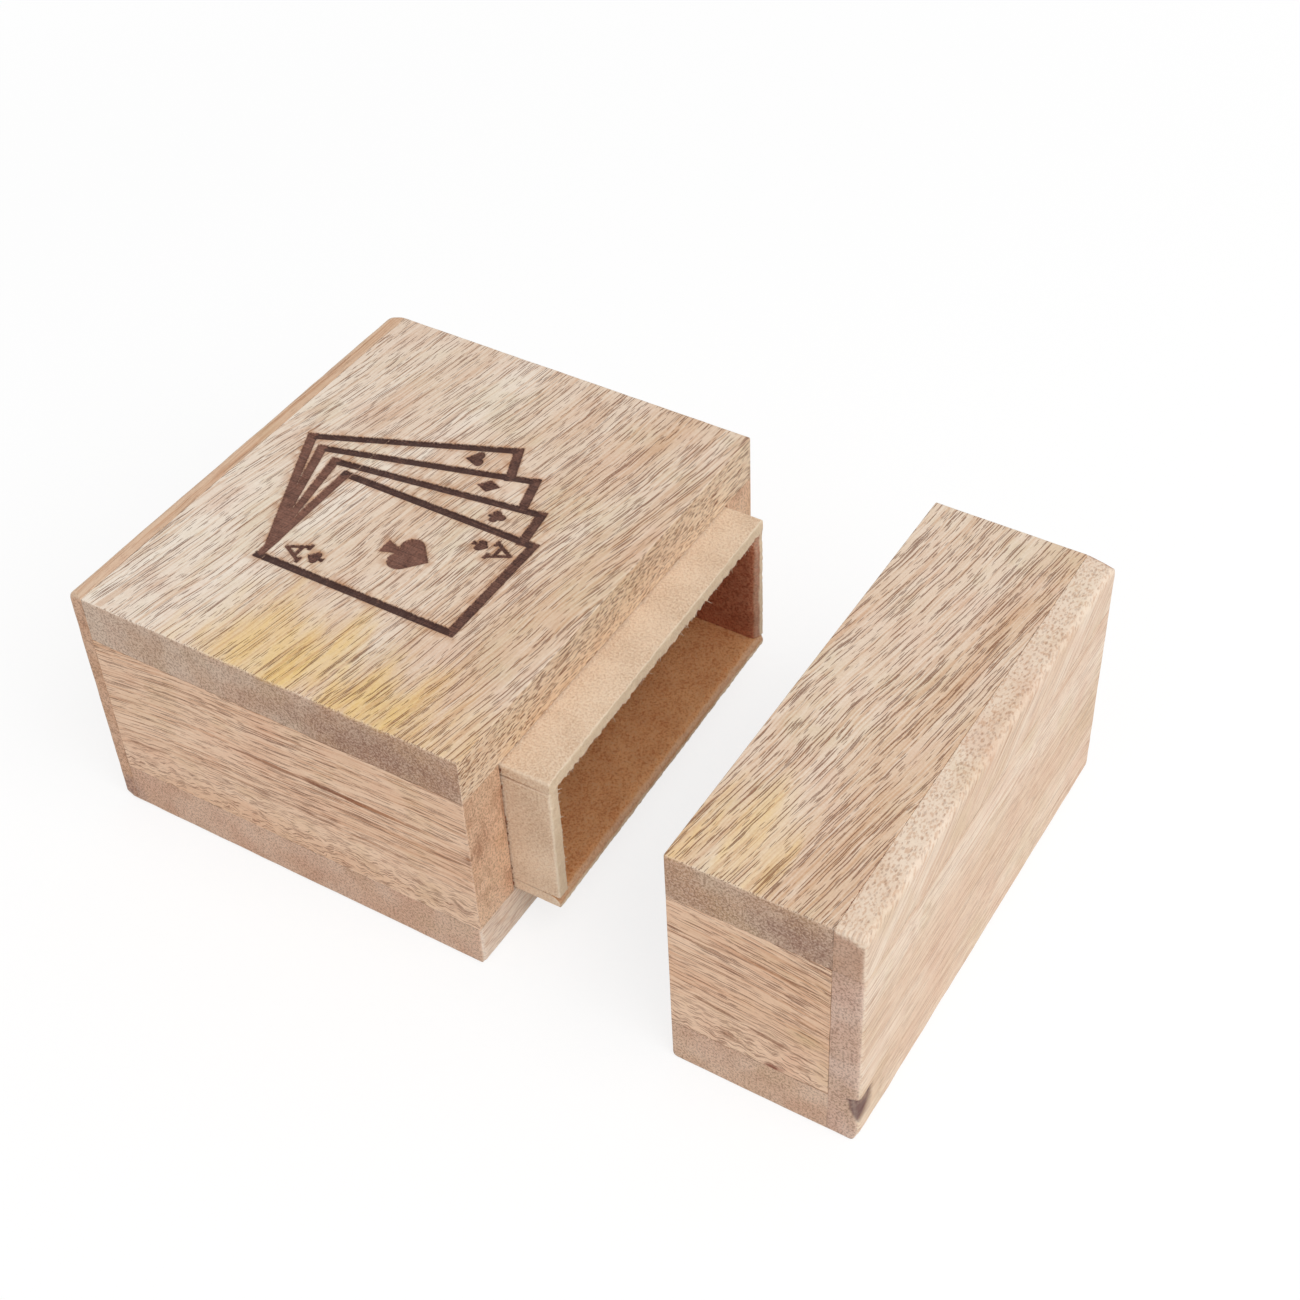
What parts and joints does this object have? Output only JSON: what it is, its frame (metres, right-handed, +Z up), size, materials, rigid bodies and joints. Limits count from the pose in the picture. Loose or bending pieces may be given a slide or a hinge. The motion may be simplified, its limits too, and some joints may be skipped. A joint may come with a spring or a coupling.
{
  "type": "playing card box",
  "caption": "Wooden box for a deck of playing cards, cut across into a case with a thin glued sleeve and a cap that pulls off it, with a burnt fan of cards on top.",
  "frame": {"origin": "centre of the case's flat underside", "axes": "+X the way the cap pulls off, +Y towards the far side, +Z up"},
  "size_m": [0.1472, 0.09, 0.049],
  "materials": {
    "top_boards": "bare light hardwood, open pores, sanded, figure burnt dark brown",
    "bottom_boards": "bare light hardwood, fine sanded edges",
    "side_boards": "bare light hardwood, long grain along the box",
    "end_boards": "bare light hardwood, rounded edges",
    "sleeve_panels": "raw fibreboard, sawn edges slightly furry"
  },
  "bodies": {
    "case": {"case_top_board": "top_boards", "case_bottom_board": "bottom_boards", "case_near_side": "side_boards", "case_far_side": "side_boards", "case_end_board": "end_boards", "sleeve_top_panel": "sleeve_panels", "sleeve_bottom_panel": "sleeve_panels", "sleeve_near_panel": "sleeve_panels", "sleeve_far_panel": "sleeve_panels"},
    "cap": {"cap_top_board": "top_boards", "cap_bottom_board": "bottom_boards", "cap_near_side": "side_boards", "cap_far_side": "side_boards", "cap_end_board": "end_boards", "cap_end_strip": "end_boards"}
  },
  "joints": [
    {"name": "cap_slide", "type": "slide", "parent": "case", "child": "cap", "axis": [1, 0, 0], "range_m": [-0.03605, 0]}
  ]
}
